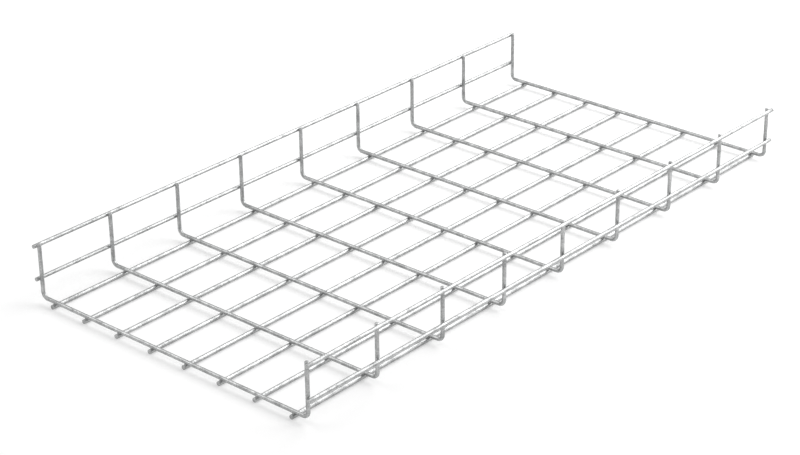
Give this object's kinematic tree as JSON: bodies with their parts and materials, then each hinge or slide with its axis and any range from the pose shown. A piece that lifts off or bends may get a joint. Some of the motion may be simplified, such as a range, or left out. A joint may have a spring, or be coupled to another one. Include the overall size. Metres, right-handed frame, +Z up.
{
  "type": "wire mesh cable basket",
  "caption": "Straight length of welded wire mesh cable tray: U-shaped cross wires on lengthways wires, open at the top and both ends.",
  "frame": {"origin": "middle of the length and the width, on the surface that the floor wires lie on", "axes": "+X along the basket, +Y to its left side, +Z up out of its open top"},
  "size_m": [0.81, 0.4, 0.0691],
  "materials": {
    "galvanised_wire": "hot-dip galvanised drawn steel wire, matte light grey"
  },
  "bodies": {
    "root": {"cross_wire_1": "galvanised_wire", "cross_wire_2": "galvanised_wire", "cross_wire_3": "galvanised_wire", "cross_wire_4": "galvanised_wire", "cross_wire_5": "galvanised_wire", "cross_wire_6": "galvanised_wire", "cross_wire_7": "galvanised_wire", "cross_wire_8": "galvanised_wire", "cross_wire_9": "galvanised_wire", "floor_wire_1": "galvanised_wire", "floor_wire_2": "galvanised_wire", "floor_wire_3": "galvanised_wire", "floor_wire_4": "galvanised_wire", "floor_wire_5": "galvanised_wire", "floor_wire_6": "galvanised_wire", "floor_wire_7": "galvanised_wire", "floor_wire_8": "galvanised_wire", "left_low_wire": "galvanised_wire", "left_top_wire": "galvanised_wire", "right_low_wire": "galvanised_wire", "right_top_wire": "galvanised_wire"}
  },
  "joints": []
}
